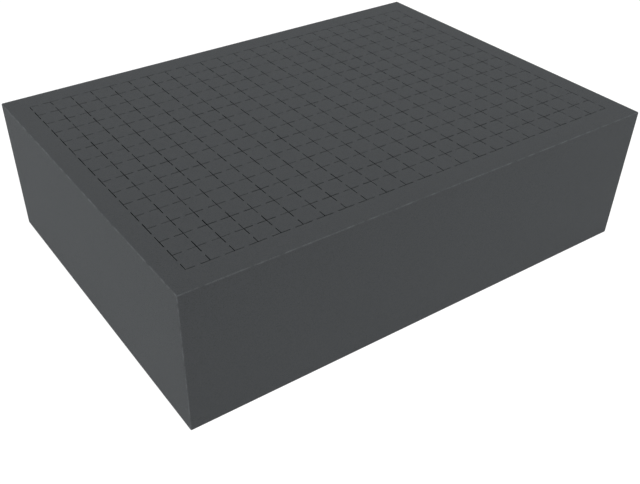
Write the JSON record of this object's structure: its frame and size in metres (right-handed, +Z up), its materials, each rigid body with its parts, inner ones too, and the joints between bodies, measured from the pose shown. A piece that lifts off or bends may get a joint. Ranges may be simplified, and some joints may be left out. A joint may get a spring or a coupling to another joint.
{
  "type": "foam block",
  "caption": "Rectangular block of dark grey foam, slit from the top in a square grid, so that foam columns can be plucked out to make pockets.",
  "frame": {"origin": "centre of the base, on the surface that the block stands on", "axes": "+X along the long side, +Y along the short side, +Z up, out of the slit top face"},
  "size_m": [0.36, 0.26, 0.1],
  "materials": {
    "foam": "dark grey open-cell foam, sawn, with no shine"
  },
  "bodies": {
    "root": {"foam_block": "foam"}
  },
  "joints": []
}
